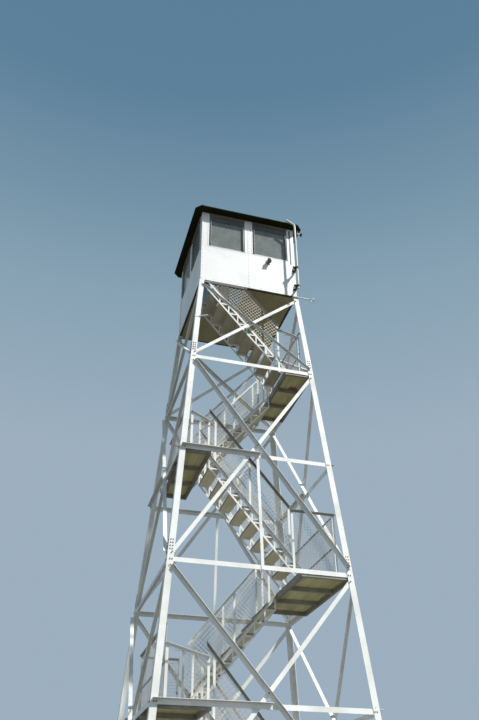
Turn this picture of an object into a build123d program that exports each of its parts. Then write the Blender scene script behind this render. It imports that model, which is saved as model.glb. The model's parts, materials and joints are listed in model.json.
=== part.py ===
"""Fire lookout tower: a square, tapering tower of steel angles with five zigzag
flights of open-web stairs and a small glazed cab with a low hipped roof.

The frame is in millimetres: Z is up from the ground, the front (sunlit) side
faces -Y, and the origin is on the ground at the tower's centre.
"""
from build123d import *
import math
import os

# Tower storeys
tier_height = 2045.0
tier_count = 5
floor_seat = 40.0
top_half_width = 1086.0
base_half_width = 1848.0

# Steel angles
leg_flange = 102.0
leg_thickness = 10.0
strut_size = 76.0
strut_thickness = 6.0
brace_size = 64.0
brace_thickness = 6.0
end_inset = 24.0
brace_inset = 52.0
brace_gap = 86.0
brace_cope = 30.0
member_clearance = 30.0
hanger_width = 50.0
spacer_radius = 22.0

# Feet and leg caps
base_plate_size = 260.0
base_plate_thickness = 20.0
base_plate_offset = 60.0
anchor_spacing = 190.0
anchor_hole_radius = 11.0
cap_plate_size = 106.0
cap_plate_thickness = 12.0

# Stairs
risers = 9
landing_gap = 1500.0
stair_shift = -90.0
stringer_depth = 270.0
stringer_thickness = 8.0
stair_width = 750.0
front_stair_start = -1040.0
front_stair_spread = 80.0
rear_stair_start = -200.0
upper_chord = 45.0
upper_chord_flange = 36.0
lower_chord = 32.0
lacing_width = 25.0
tread_thickness = 40.0
tread_clearance = 3.0
cleat_thickness = 5.0
cleat_width = 30.0

# Landings
deck_thickness = 32.0
deck_board_width = 178.0
deck_board_gap = 4.0
deck_rise = -10.0
landing_beam_depth = 70.0
landing_beam_width = 45.0
landing_rear = 600.0
bracket_width = 60.0
seat_clearance = 0.3

# Guards
handrail_height = 900.0
guard_height = 1067.0
guard_middle = 540.0
first_guard_fall = 140.0
low_guard_inner = 620.0
low_guard_outer = 790.0
rail_size = 38.0
rail_thickness = 5.0
first_post = 100.0
guard_overhang = 100.0
mesh_thickness = 4.0
mesh_edge_gap = 0.3

# Cab
cab_half_width = 1067.0
wall_thickness = 50.0
wall_height = 2007.0
sill_height = 1014.0
window_head_height = 1835.0
centre_post_half = 92.0
corner_post_width = 162.0
sash_width = 32.0
sash_depth = 30.0
glass_thickness = 5.0
floor_beam_depth = 90.0
floor_beam_width = 45.0
floor_board_thickness = 24.0
floor_board_width = 140.0
floor_board_gap = 3.0
hatch_right = -60.0
underside_thickness = 6.0
underside_joint = 450.0

# Roof
eave_half_width = 1250.0
eave_clip = 120.0
soffit_thickness = 18.0
fascia_height = 70.0
fascia_thickness = 20.0
roof_rise = 430.0
roof_sheet = 20.0
roof_top_half = 60.0

# Fittings
rod_sides = 12
ring_sides = 16
mast_radius = 23.0
mast_x = 1035.0
mast_eave_gap = 12.0
mast_bottom = 60.0
mast_straight = 1900.0
mast_bend_radius = 90.0
mast_reach = 170.0
mast_lean = 30.0
clamp_heights = (130.0, 650.0)
clamp_height = 44.0
clamp_wall = 9.0
clamp_bar = 26.0
lamp_x = 440.0
lamp_height = 850.0
lamp_plate = 92.0
lamp_plate_thickness = 14.0
lamp_radius = 34.0
lamp_length = 105.0
arm_radius = 14.0
arm_length = 290.0
arm_height = -30.0
ring_radius = 46.0
ring_bar = 9.0
horn_radius = 44.0
horn_length = 120.0
horn_drop = 110.0

# Worked out from the sizes above
floor_level = tier_height * tier_count + floor_seat
batter = (base_half_width - top_half_width) / floor_level
tilt = math.atan(batter)
flange_depth = leg_thickness * math.cos(tilt)
face_normal = Vector(0, -math.cos(tilt), math.sin(tilt))
landing_edge_right = stair_shift + landing_gap / 2
landing_edge_left = stair_shift - landing_gap / 2
stair_run = landing_gap / (1 - stringer_depth / tier_height)
stair_slope = tier_height / stair_run
stair_angle = math.atan(stair_slope)
riser = tier_height / risers
going = riser / stair_slope
cab_floor_top = floor_level + floor_beam_depth + floor_board_thickness
hatch_rear = front_stair_start + stair_width - floor_beam_width / 2

LEFT_BOTTOM = (Align.MIN, Align.MIN, Align.MIN)


def half_width(z):
    """Distance from the tower's axis to the outer plane of a face at a height."""
    return base_half_width - batter * z


def level(storey):
    """Height of a storey's struts: 0 is the top of the tower, 5 the ground."""
    return tier_height * (tier_count - storey)


def walking_level(storey):
    """Height of the surface that a flight starts from or lands on."""
    if storey == 0:
        return cab_floor_top
    if storey == tier_count:
        return 0.0
    return level(storey) + deck_rise + deck_thickness


def block(low, high):
    """A box from its lowest to its highest corner."""
    size = [high[i] - low[i] for i in range(3)]
    return Pos(*low) * Box(*size, align=LEFT_BOTTOM)


def rod(radius, length):
    """A round bar of flat sides standing on XY."""
    return extrude(RegularPolygon(radius, rod_sides), amount=length)


def save(name, solids):
    """Write one node's solids to its own file."""
    shape = solids[0] if len(solids) == 1 else Compound(children=list(solids))
    export_step(shape, f"parts/{name}.step")


def turned(shapes, degrees):
    """Copies of the front side's pieces for another side of the tower."""
    return [shape.rotate(Axis.Z, degrees) for shape in shapes]


# Legs and plates


def front_left_leg():
    """An equal angle with its heel on the tower's corner line."""
    bottom = base_plate_thickness
    top = floor_level - cap_plate_thickness
    heel = -half_width(bottom)
    outline = [
        (heel, heel),
        (heel + leg_flange, heel),
        (heel + leg_flange, heel + leg_thickness),
        (heel + leg_thickness, heel + leg_thickness),
        (heel + leg_thickness, heel + leg_flange),
        (heel, heel + leg_flange),
    ]
    profile = Plane.XY.offset(bottom) * make_face(Polyline(*outline, close=True))
    direction = Vector(batter, batter, 1)
    return extrude(profile, amount=(top - bottom) * direction.length, dir=direction)


def front_left_base_plate():
    """A foot plate with four anchor holes clear of the leg's flanges."""
    centre = -half_width(0) + base_plate_offset
    plate = Pos(centre, centre, base_plate_thickness / 2) * Box(
        base_plate_size, base_plate_size, base_plate_thickness
    )
    for dx in (-anchor_spacing / 2, anchor_spacing / 2):
        for dy in (-anchor_spacing / 2, anchor_spacing / 2):
            hole = Cylinder(anchor_hole_radius, 2 * base_plate_thickness)
            plate -= Pos(centre + dx, centre + dy, base_plate_thickness / 2) * hole
    return plate


def front_left_cap_plate():
    """The bearing plate on a leg that carries the cab's floor beams."""
    outer = -half_width(floor_level - cap_plate_thickness)
    inner = outer + cap_plate_size
    return block((outer, outer, floor_level - cap_plate_thickness), (inner, inner, floor_level))


# Struts and bracing of the front side


def angle_bar(start, end, size, thickness, outer, cope):
    """An angle in the side's plane, from (x, height) to (x, height).

    An outer bar lies on the legs' outer faces with its second flange outwards.
    An inner bar lies behind the flanges with its second flange inwards. The
    second flange is on the upper edge and is cut back by cope at both ends.
    """
    first = Vector(start[0], -half_width(start[1]), start[1])
    last = Vector(end[0], -half_width(end[1]), end[1])
    along = last - first
    plane = Plane(origin=first, x_dir=along, z_dir=face_normal)
    flat_low = 0 if outer else -flange_depth - thickness
    flange_low = 0 if outer else -flange_depth - size
    flat = block((0, -size / 2, flat_low), (along.length, size / 2, flat_low + thickness))
    flange = block(
        (cope, size / 2 - thickness, flange_low),
        (along.length - cope, size / 2, flange_low + size),
    )
    return plane * (flat + flange)


def panels():
    """Storeys at which each crossed panel starts and ends: one short, then double."""
    bounds = [0, 1]
    while bounds[-1] + 2 <= tier_count:
        bounds.append(bounds[-1] + 2)
    return list(zip(bounds[:-1], bounds[1:]))


def brace_ends(top, bottom):
    """(x, height) of a diagonal's upper and lower ends on the right-hand leg."""
    high = level(top) - brace_gap
    low = level(bottom) + brace_gap
    return (half_width(high) - brace_inset, high), (half_width(low) - brace_inset, low)


def crossing_height(top, bottom):
    """Height at which a panel's two diagonals cross on the centre line."""
    (x_high, high), (x_low, low) = brace_ends(top, bottom)
    return high - (high - low) * x_high / (x_high + x_low)


def brace_offset(top, bottom, z):
    """Distance of both diagonals from the centre line at a height."""
    (x_high, high), (x_low, low) = brace_ends(top, bottom)
    return abs(crossing_height(top, bottom) - z) * (x_high + x_low) / (high - low)


def side_bracing():
    """Crossed diagonals: the falling one outside the legs, the rising one inside."""
    bars = []
    for top, bottom in panels():
        (x_high, high), (x_low, low) = brace_ends(top, bottom)
        falling = ((-x_high, high), (x_low, low))
        rising = ((-x_low, low), (x_high, high))
        bars.append(angle_bar(*falling, brace_size, brace_thickness, True, brace_cope))
        bars.append(angle_bar(*rising, brace_size, brace_thickness, False, brace_cope))
    return bars


def crossing_spacers():
    """Round packers between the two diagonals where they are bolted together."""
    spacers = []
    for top, bottom in panels():
        z = crossing_height(top, bottom)
        spot = Plane(
            origin=Vector(0, -half_width(z), z) - face_normal * flange_depth,
            x_dir=(1, 0, 0),
            z_dir=face_normal,
        )
        spacers.append(spot * rod(spacer_radius, flange_depth))
    return spacers


def lap_end(top, bottom, z):
    """How far past the centre a half strut reaches before it meets a diagonal."""
    (x_high, high), (x_low, low) = brace_ends(top, bottom)
    lean = math.atan2(high - low, x_high + x_low)
    half = brace_size / 2 / math.sin(lean) + strut_size / 2 / math.tan(lean)
    return brace_offset(top, bottom, z) - half - member_clearance


def full_strut(storey):
    """One strut from leg to leg behind the flanges."""
    z = level(storey)
    reach = half_width(z) - end_inset
    cope = leg_thickness + strut_size + brace_thickness - end_inset
    return [angle_bar((-reach, z), (reach, z), strut_size, strut_thickness, False, cope)]


def half_struts(storey):
    """Two struts that lap at the centre: one outside the legs and one inside."""
    z = level(storey)
    reach = half_width(z) - end_inset
    lap = lap_end(storey - 1, storey + 1, z)
    cope = leg_thickness + strut_size + brace_thickness - end_inset
    left = angle_bar((-reach, z), (lap, z), strut_size, strut_thickness, True, 0)
    right = angle_bar((-lap, z), (reach, z), strut_size, strut_thickness, False, 0)
    trim = Pos(reach - cope, 0, 0) * Box(
        2 * cope, 4 * top_half_width, 2 * strut_size, align=(Align.MIN, Align.CENTER, Align.CENTER)
    )
    edge = strut_size / 2 - strut_thickness
    seat = -flange_depth - strut_thickness
    plane = Plane(origin=(0, -half_width(z), z), x_dir=(1, 0, 0), z_dir=face_normal)
    notch = block((reach - cope, -strut_size, -2 * strut_size), (reach + 1, strut_size, seat))
    return [left, right - plane * notch]


def side_struts():
    """The horizontal members of one side, at every storey between cab and ground."""
    struts = []
    crossed = [top + 1 for top, bottom in panels() if bottom - top == 2]
    for storey in range(1, tier_count):
        struts += half_struts(storey) if storey in crossed else full_strut(storey)
    return struts


def side_hanger():
    """The flat that hangs from the lapped half struts to the strut below."""
    high = level(2) + strut_size / 2
    low = level(3) - strut_size / 2
    first = Vector(0, -half_width(low), low)
    along = Vector(0, -half_width(high), high) - first
    plane = Plane(origin=first, x_dir=along, z_dir=face_normal)
    half = hanger_width / 2
    return plane * block((0, -half, -flange_depth), (along.length, half, 0))


# Stairs


def falls_right(flight):
    """Odd flights go down to the right, even ones down to the left."""
    return flight % 2 == 1


def stair_start(flight):
    """The lowest Y of a flight, its side nearest the front."""
    if falls_right(flight):
        return front_stair_start - front_stair_spread * (flight - 1)
    return rear_stair_start


def mirror_flight(shape, flight):
    """Flights are drawn falling to the right and mirrored about the stairs' middle."""
    if falls_right(flight):
        return shape
    return mirror(shape, about=Plane.YZ.offset(stair_shift))


def chord_height(x, flight, depth):
    """Height of a line parallel to the flight, depth below the upper chord's top."""
    foot = walking_level(flight)
    return foot + (landing_edge_right - x) * stair_slope + stringer_depth - depth


def flight_top_cut(flight):
    """X at which the flight meets what is above it, and the height of its top.

    The first flight ends under the cab's walls and floor beams, clear of the
    leg cap in the corner.
    """
    if flight == 1:
        return -top_half_width + cap_plate_size + tread_clearance, floor_level
    return landing_edge_left, walking_level(flight - 1)


def tread_count(flight):
    """Treads below the level at which a flight ends."""
    rise = flight_top_cut(flight)[1] - walking_level(flight)
    return math.ceil(rise / riser - 0.5) - 1


def tread_places(flight):
    """(x, height) of each tread's back lower edge, from the bottom up."""
    places = []
    for step in range(1, tread_count(flight) + 1):
        top = walking_level(flight) + step * riser
        bottom = top - tread_thickness
        back = landing_edge_right - (bottom - walking_level(flight)) / stair_slope
        places.append((back + lower_chord / 2, bottom))
    return places


def sloped_band(flight, depth, width):
    """A strip of a flight's side view, width deep, measured square to the slope."""
    drop = width / math.cos(stair_angle)
    left = -top_half_width - stringer_depth
    right = landing_edge_right + 2 * stringer_depth
    points = [
        (left, chord_height(left, flight, depth)),
        (right, chord_height(right, flight, depth)),
        (right, chord_height(right, flight, depth + drop)),
        (left, chord_height(left, flight, depth + drop)),
    ]
    return make_face(Polyline(*points, close=True))


def region_above(flight, depth):
    """The part of a flight's side view above a line parallel to the upper chord."""
    left = -top_half_width - stringer_depth
    right = landing_edge_right + 2 * stringer_depth
    points = [
        (left, chord_height(left, flight, depth)),
        (right, chord_height(right, flight, depth)),
        (right, chord_height(left, flight, depth)),
    ]
    return make_face(Polyline(*points, close=True))


def stringer_outline(flight):
    """Side view of an open-web stringer: two chords, uprights and tread bars."""
    lower_drop = lower_chord / math.cos(stair_angle)
    view = sloped_band(flight, 0, upper_chord)
    view += sloped_band(flight, stringer_depth - lower_drop, lower_chord)
    half = lacing_width / 2
    for back, bottom in tread_places(flight):
        upright = stringer_depth - half
        view += Pos(back, bottom - half + upright / 2) * Rectangle(lacing_width, upright)
        reach = (stringer_depth - half) / stair_slope
        view += Pos(back + reach / 2, bottom - half) * Rectangle(reach, lacing_width)
    cut_x, cut_top = flight_top_cut(flight)
    foot = walking_level(flight)
    right = landing_edge_right + 2 * stringer_depth
    window = Pos((cut_x + right) / 2, (cut_top + foot) / 2) * Rectangle(
        right - cut_x, cut_top - foot
    )
    return view & window & sloped_band(flight, 0, stringer_depth)


def stair_frame(flight):
    """Two stringers with the cleats that carry the treads' ends.

    The upper chord's flange turns inwards on the first flight and outwards on
    the others.
    """
    start = stair_start(flight)
    wall = Plane(origin=(0, start, 0), x_dir=(1, 0, 0), z_dir=(0, -1, 0))
    near = extrude(wall * stringer_outline(flight), amount=-stringer_thickness)
    far = Pos(0, stair_width - stringer_thickness, 0) * near
    inward = flight == 1
    low = 0 if inward else -upper_chord_flange
    high = upper_chord_flange if inward else stringer_thickness
    cap_outline = sloped_band(flight, 0, rail_thickness) & cap_window(flight)
    near += Pos(0, low, 0) * extrude(wall * cap_outline, amount=low - high)
    far += Pos(0, stair_width - high, 0) * extrude(wall * cap_outline, amount=low - high)
    inner_near = start + stringer_thickness
    inner_far = start + stair_width - stringer_thickness
    for back, bottom in tread_places(flight):
        sole = bottom - cleat_thickness
        front = back + going
        near += block((back, inner_near, sole), (front, inner_near + cleat_width, bottom))
        far += block((back, inner_far - cleat_width, sole), (front, inner_far, bottom))
    return [mirror_flight(near, flight), mirror_flight(far, flight)]


def cap_window(flight):
    """The part of a flight's side view between its two level ends."""
    cut_x, cut_top = flight_top_cut(flight)
    foot = walking_level(flight)
    right = landing_edge_right + 2 * stringer_depth
    return Pos((cut_x + right) / 2, (cut_top + foot) / 2) * Rectangle(
        right - cut_x, cut_top - foot
    )


def stair_treads(flight):
    """Timber treads lying on their angles and cleats, notched round the chords."""
    start = stair_start(flight) + stringer_thickness + tread_clearance
    end = stair_start(flight) + stair_width - stringer_thickness - tread_clearance
    wall = Plane(origin=(0, stair_start(flight), 0), x_dir=(1, 0, 0), z_dir=(0, -1, 0))
    line = rail_thickness / math.cos(stair_angle) + tread_clearance
    above = region_above(flight, line)
    notch = extrude(wall * above, amount=-upper_chord_flange - tread_clearance)
    far_notch = Pos(0, stair_width - upper_chord_flange - tread_clearance, 0) * notch
    treads = []
    for back, bottom in tread_places(flight):
        depth = stringer_depth / stair_slope - lower_chord / 2
        tread = block((back, start, bottom), (back + depth, end, bottom + tread_thickness))
        treads.append(mirror_flight(tread - notch - far_notch, flight))
    return treads


def guard_line(flight, x, height):
    """Height of the handrail's top above the tread noses."""
    return chord_height(x, flight, 0) + height


def rail_span(flight):
    """X of the upper and lower ends of a flight's handrails."""
    lower = landing_edge_right - rail_size
    if flight > 1:
        return landing_edge_left, lower
    rise = floor_level - guard_line(flight, landing_edge_right, handrail_height)
    return landing_edge_right - rise / stair_slope, lower


def guard_posts(flight):
    """X of the lower-numbered side of each post of a flight's guard."""
    upper, lower = rail_span(flight)
    posts = [(upper + lower) / 2, lower - rail_size]
    return posts if flight == 1 else [upper + first_post, *posts]


def rail_strip(flight, depth):
    """Side view of a flight's handrail, depth deep square to the slope."""
    upper, lower = rail_span(flight)
    drop = depth / math.cos(stair_angle)
    points = [
        (upper, guard_line(flight, upper, handrail_height)),
        (lower, guard_line(flight, lower, handrail_height)),
        (lower, guard_line(flight, lower, handrail_height) - drop),
        (upper, guard_line(flight, upper, handrail_height) - drop),
    ]
    return make_face(Polyline(*points, close=True))


def stair_guard(flight, y_low, side):
    """A guard on the upper chord; its handrail's flange turns to the side given."""
    view = rail_strip(flight, rail_size)
    for x in guard_posts(flight):
        other = x + rail_size
        points = [
            (x, chord_height(x, flight, 0)),
            (other, chord_height(other, flight, 0)),
            (other, guard_line(flight, other, handrail_height - 1)),
            (x, guard_line(flight, x, handrail_height - 1)),
        ]
        view += make_face(Polyline(*points, close=True))
    wall = Plane(origin=(0, y_low + rail_thickness, 0), x_dir=(1, 0, 0), z_dir=(0, -1, 0))
    guard = extrude(wall * view, amount=rail_thickness)
    flange = extrude(wall * rail_strip(flight, rail_thickness), amount=rail_size)
    if side > 0:
        flange = Pos(0, rail_size - rail_thickness, 0) * flange
    return guard + flange


def stair_guards(flight):
    """Both sides' guards, standing on the stringers; the first flight's turn inwards."""
    start = stair_start(flight)
    side = 1 if flight == 1 else -1
    near = stair_guard(flight, start, side)
    far = stair_guard(flight, start + stair_width - rail_thickness, -side)
    return [mirror_flight(near, flight), mirror_flight(far, flight)]


def infill_spans(flight):
    """(first, last) X of each field of mesh between the posts of a guard."""
    posts = guard_posts(flight)
    start = rail_span(flight)[0]
    if flight == 1:
        rise = floor_level - chord_height(landing_edge_right, flight, 0)
        start = landing_edge_right - rise / stair_slope
    spans = [(start, posts[0])]
    for post, following in zip(posts[:-1], posts[1:]):
        spans.append((post + rail_size, following))
    return [(first + mesh_edge_gap, last - mesh_edge_gap) for first, last in spans]


def stair_mesh(flight):
    """The sheets that the wire infill of a flight's guards fills."""
    drop = rail_size / math.cos(stair_angle) + mesh_edge_gap
    start = stair_start(flight)
    middle = (landing_edge_left + landing_edge_right) / 2
    ceiling = floor_level - mesh_edge_gap
    below = Pos(middle, ceiling / 2) * Rectangle(4 * landing_gap, ceiling)
    sheets = []
    for y in (start, start + stair_width - rail_thickness):
        wall = Plane(origin=(0, y + mesh_thickness, 0), x_dir=(1, 0, 0), z_dir=(0, -1, 0))
        for first, last in infill_spans(flight):
            points = [
                (first, guard_line(flight, first, handrail_height) - drop),
                (last, guard_line(flight, last, handrail_height) - drop),
                (last, chord_height(last, flight, 0) + mesh_edge_gap),
                (first, chord_height(first, flight, 0) + mesh_edge_gap),
            ]
            view = make_face(Polyline(*points, close=True)) & below
            sheets.append(mirror_flight(extrude(wall * view, amount=mesh_thickness), flight))
    return sheets


# Landings


def landing_box(storey):
    """Lowest and highest X and Y of a landing, drawn on the right-hand side."""
    face = half_width(walking_level(storey))
    outer = face - leg_thickness - strut_thickness - seat_clearance
    return (landing_edge_right, -outer), (outer, landing_rear)


def on_side(shape, storey):
    """Odd storeys have their landing on the right, even ones on the left."""
    if storey % 2 == 1:
        return shape
    return mirror(shape, about=Plane.YZ.offset(stair_shift))


def landing_limits(storey):
    """As landing_box, fitted to the left side and clear of its bracing on even storeys."""
    low, high = landing_box(storey)
    if storey % 2 == 1:
        return low, high
    inset = brace_size - strut_thickness + seat_clearance + 2 * tread_clearance
    return low, (high[0] + 2 * stair_shift - inset, high[1])


def landing_frame(storey):
    """Edge and cross beams under a landing."""
    low, high = landing_limits(storey)
    top = beam_top(storey)
    bottom = top - landing_beam_depth
    width = landing_beam_width
    outer = block((low[0], low[1], bottom), (high[0], high[1], top))
    inner_low = (low[0] + width, low[1] + width, bottom - 1)
    inner_high = (high[0] - width, high[1] - width, top + 1)
    frame = outer - block(inner_low, inner_high)
    span = high[1] - low[1]
    for share in (1 / 3, 2 / 3):
        y = low[1] + span * share
        frame += block((low[0], y, bottom), (high[0], y + width, top))
    if storey % 2 == 0:
        frame += side_brackets(storey, high[0], bottom, top)
        frame += front_brackets(storey, low, bottom, top)
    return on_side(frame, storey)


def beam_top(storey):
    """Height of the landing beams' top, which the deck lies on."""
    return level(storey) + deck_rise


def front_brackets(storey, low, bottom, top):
    """Blocks from a landing's front beam to the outer half strut before it."""
    face = half_width(walking_level(storey)) - seat_clearance
    first = block(
        (low[0], -face, bottom),
        (low[0] + bracket_width, low[1], top),
    )
    step = (half_width(top) - low[0]) / 3
    return [first, Pos(step, 0, 0) * first]


def side_brackets(storey, start, bottom, top):
    """Blocks from an inset landing to the inner and the outer half strut beside it."""
    face = half_width(walking_level(storey)) + 2 * stair_shift - seat_clearance
    inner = face - leg_thickness - strut_thickness
    near_y = -half_width(top) / 2
    far_y = half_width(top) / 4
    near = block((start, near_y, bottom), (inner, near_y + bracket_width, top))
    far = block((start, far_y, bottom), (face, far_y + bracket_width, top))
    return [near, far]


def landing_deck(storey):
    """Boards from front to rear on the landing's beams."""
    low, high = landing_limits(storey)
    bottom = beam_top(storey)
    width = high[0] - low[0]
    count = max(1, round((width + deck_board_gap) / (deck_board_width + deck_board_gap)))
    pitch = (width + deck_board_gap) / count
    boards = []
    for index in range(count):
        x = low[0] + index * pitch
        board = block(
            (x, low[1], bottom),
            (x + pitch - deck_board_gap, high[1], level(storey) + deck_rise + deck_thickness),
        )
        boards.append(on_side(board, storey))
    return boards


def guard_limits(storey):
    """X of the outer guard and Y of the front guard on a landing."""
    low, high = landing_limits(storey)
    lean = batter * guard_height
    side = lean + rail_size + (brace_size if storey % 2 == 1 else 0)
    return high[0] - side, low[1] + lean + rail_size


def front_guard_heights(storey):
    """Heights of a front guard's top at its inner and its outer post."""
    if storey == 1:
        return guard_height, guard_height - first_guard_fall
    if storey % 2 == 1:
        return guard_height, guard_height
    return low_guard_inner, low_guard_outer


def guard_openings(width, inner, outer, middle):
    """Outlines of a guard's fields, split by a rail at the middle height if it isn't 0."""
    edge = width - rail_size
    rise = (outer - inner) / width
    high = [
        (edge, inner + rise * edge - rail_size),
        (rail_size, inner + rise * rail_size - rail_size),
    ]
    if middle == 0:
        return [[(rail_size, 0), (edge, 0), *high]]
    below = middle - rail_size
    lower = [(rail_size, 0), (edge, 0), (edge, below), (rail_size, below)]
    return [lower, [(rail_size, middle), (edge, middle), *high]]


def upright_guard(width, inner, outer, middle):
    """A guard of angles: end posts, a top rail with a flange and perhaps a middle one."""
    view = make_face(Polyline((0, 0), (width, 0), (width, outer), (0, inner), close=True))
    for points in guard_openings(width, inner, outer, middle):
        view -= make_face(Polyline(*points, close=True))
    top = [
        (0, inner - rail_thickness),
        (width, outer - rail_thickness),
        (width, outer),
        (0, inner),
    ]
    flange = extrude(Plane.XZ * make_face(Polyline(*top, close=True)), amount=rail_size)
    return extrude(Plane.XZ * view, amount=rail_thickness) + flange


def guard_mesh(width, inner, outer, middle):
    """The sheets of mesh that fill an upright guard."""
    sheets = []
    for points in guard_openings(width, inner, outer, middle):
        (left, low), (right, _), (_, high_right), (_, high_left) = points
        inset = [
            (left + mesh_edge_gap, low + mesh_edge_gap),
            (right - mesh_edge_gap, low + mesh_edge_gap),
            (right - mesh_edge_gap, high_right - mesh_edge_gap),
            (left + mesh_edge_gap, high_left - mesh_edge_gap),
        ]
        view = make_face(Polyline(*inset, close=True))
        sheets.append(extrude(Plane.XZ * view, amount=mesh_thickness))
    return sheets


def front_guard_start(storey):
    """X of the front guard's inner post: past the deck's edge where a flight lands."""
    return landing_edge_right - (guard_overhang if storey % 2 == 1 else 0)


def landing_ends(storey, make):
    """What make gives for a landing's front and rear guards, each in its place."""
    x_out, y_front = guard_limits(storey)
    deck = walking_level(storey)
    start = front_guard_start(storey)
    end = x_out - rail_thickness - seat_clearance
    inner, outer = front_guard_heights(storey)
    front = Pos(start, y_front, deck)
    rear = Pos(landing_edge_right, landing_rear, deck)
    placed = [front * piece for piece in make(end - start, inner, outer, 0)]
    flat = make(end - landing_edge_right, guard_height, guard_height, 0)
    placed += [rear * mirror(piece, about=Plane.XZ) for piece in flat]
    return [on_side(piece, storey) for piece in placed]


def landing_sides(storey, make):
    """What make gives for a landing's outer guard, in its place."""
    x_out, y_front = guard_limits(storey)
    length = landing_rear + rail_thickness - y_front + rail_thickness
    place = Pos(x_out - rail_thickness, y_front - rail_thickness, walking_level(storey))
    pieces = make(length, guard_height, guard_height, guard_middle)
    return [on_side(place * piece.rotate(Axis.Z, 90), storey) for piece in pieces]


def landing_end_guards(storey):
    """Guards across the front and rear ends of a landing."""
    return landing_ends(storey, lambda *sizes: [upright_guard(*sizes)])


def landing_side_guards(storey):
    """The guard along a landing's outer edge."""
    return landing_sides(storey, lambda *sizes: [upright_guard(*sizes)])


def landing_mesh(storey):
    """The sheets that the wire infill of a landing's guards fills."""
    return landing_ends(storey, guard_mesh) + landing_sides(storey, guard_mesh)


# Cab


def floor_beams():
    """Front and rear beams on the leg caps, and the trimmer behind the hatch."""
    inner = cab_half_width - wall_thickness
    low = floor_level
    high = floor_level + floor_beam_depth
    front = block((hatch_right, -inner, low), (inner, -inner + floor_beam_width, high))
    rear = block((-inner, inner - floor_beam_width, low), (inner, inner, high))
    left = -inner + floor_beam_width
    trimmer = block(
        (left, hatch_rear, low),
        (hatch_right, hatch_rear + floor_beam_width, high),
    )
    return [front, rear, trimmer]


def floor_joists():
    """Joists from front to rear, with a short one behind the hatch."""
    inner = cab_half_width - wall_thickness
    low = floor_level
    high = floor_level + floor_beam_depth
    start = -inner + floor_beam_width
    end = inner - floor_beam_width
    width = floor_beam_width
    joists = [block((-inner, -inner, low), (-inner + width, end, high))]
    joists.append(block((hatch_right, start, low), (hatch_right + width, end, high)))
    third = (inner - hatch_right - width) / 3
    for index in (1, 2, 3):
        x = hatch_right + width + index * third - width
        joists.append(block((x, start, low), (x + width, end, high)))
    middle = (-inner + hatch_right) / 2
    joists.append(block((middle, hatch_rear + width, low), (middle + width, end, high)))
    return joists


def floor_boards():
    """Boards across the joists, cut short beside the hatch."""
    inner = cab_half_width - wall_thickness - floor_board_gap
    low = floor_level + floor_beam_depth
    high = low + floor_board_thickness
    count = round(2 * inner / (floor_board_width + floor_board_gap))
    pitch = (2 * inner + floor_board_gap) / count
    boards = []
    for index in range(count):
        front = -inner + index * pitch
        rear = front + pitch - floor_board_gap
        left = hatch_right if front < hatch_rear else -inner
        boards.append(block((left, front, low), (inner, rear, high)))
    return boards


def cab_underside():
    """Three sheets under the joists, open at the hatch and cut round the leg caps."""
    inner = cab_half_width - wall_thickness
    low = floor_level - underside_thickness
    first = hatch_rear + floor_beam_width
    strips = [
        ((hatch_right, -inner), (inner, first - floor_board_gap)),
        ((-inner, first), (inner, underside_joint)),
        ((-inner, underside_joint + floor_board_gap), (inner, inner)),
    ]
    notch = top_half_width - cap_plate_size - tread_clearance
    sheets = []
    for start, end in strips:
        sheet = block((*start, low), (*end, floor_level))
        for x in (-inner - 1, notch):
            for y in (-inner - 1, notch):
                corner = block((x, y, low - 1), (x + inner + 1 - notch, y + inner + 1 - notch, floor_level + 1))
                sheet -= corner
        sheets.append(sheet)
    return sheets


def window_boxes():
    """(left, right) of the two windows of a wall."""
    outer = cab_half_width - corner_post_width
    return ((-outer, -centre_post_half), (centre_post_half, outer))


def cab_wall(half_length):
    """One wall of the cab with its two windows cut through, on the front side."""
    wall = block(
        (-half_length, -cab_half_width, floor_level),
        (half_length, -cab_half_width + wall_thickness, floor_level + wall_height),
    )
    for left, right in window_boxes():
        wall -= block(
            (left, -cab_half_width - 1, floor_level + sill_height),
            (right, -cab_half_width + wall_thickness + 1, floor_level + window_head_height),
        )
    return wall


def window_sashes():
    """The two sash frames of a wall."""
    sashes = []
    front = -cab_half_width + (wall_thickness - sash_depth) / 2
    low = floor_level + sill_height
    high = floor_level + window_head_height
    for left, right in window_boxes():
        outer = block((left, front, low), (right, front + sash_depth, high))
        opening = block(
            (left + sash_width, front - 1, low + sash_width),
            (right - sash_width, front + sash_depth + 1, high - sash_width),
        )
        sashes.append(outer - opening)
    return sashes


def window_panes():
    """The two panes of a wall, edge to edge with their sashes."""
    panes = []
    front = -cab_half_width + (wall_thickness - glass_thickness) / 2
    low = floor_level + sill_height + sash_width
    high = floor_level + window_head_height - sash_width
    for left, right in window_boxes():
        panes.append(
            block(
                (left + sash_width, front, low),
                (right - sash_width, front + glass_thickness, high),
            )
        )
    return panes


def eave_outline(half):
    """A square with clipped corners."""
    cut = half - eave_clip
    points = [
        (-cut, -half),
        (cut, -half),
        (half, -cut),
        (half, cut),
        (cut, half),
        (-cut, half),
        (-half, cut),
        (-half, -cut),
    ]
    return make_face(Polyline(*points, close=True))


def roof_soffit():
    """The flat board under the roof, resting on the walls."""
    base = floor_level + wall_height
    board = Plane.XY.offset(base) * eave_outline(eave_half_width - fascia_thickness)
    return extrude(board, amount=soffit_thickness)


def roof_fascia():
    """The rim board around the eave."""
    base = floor_level + wall_height
    outer = Plane.XY.offset(base) * eave_outline(eave_half_width)
    inner = Plane.XY.offset(base) * eave_outline(eave_half_width - fascia_thickness)
    return extrude(outer, amount=fascia_height) - extrude(inner, amount=fascia_height)


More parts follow.
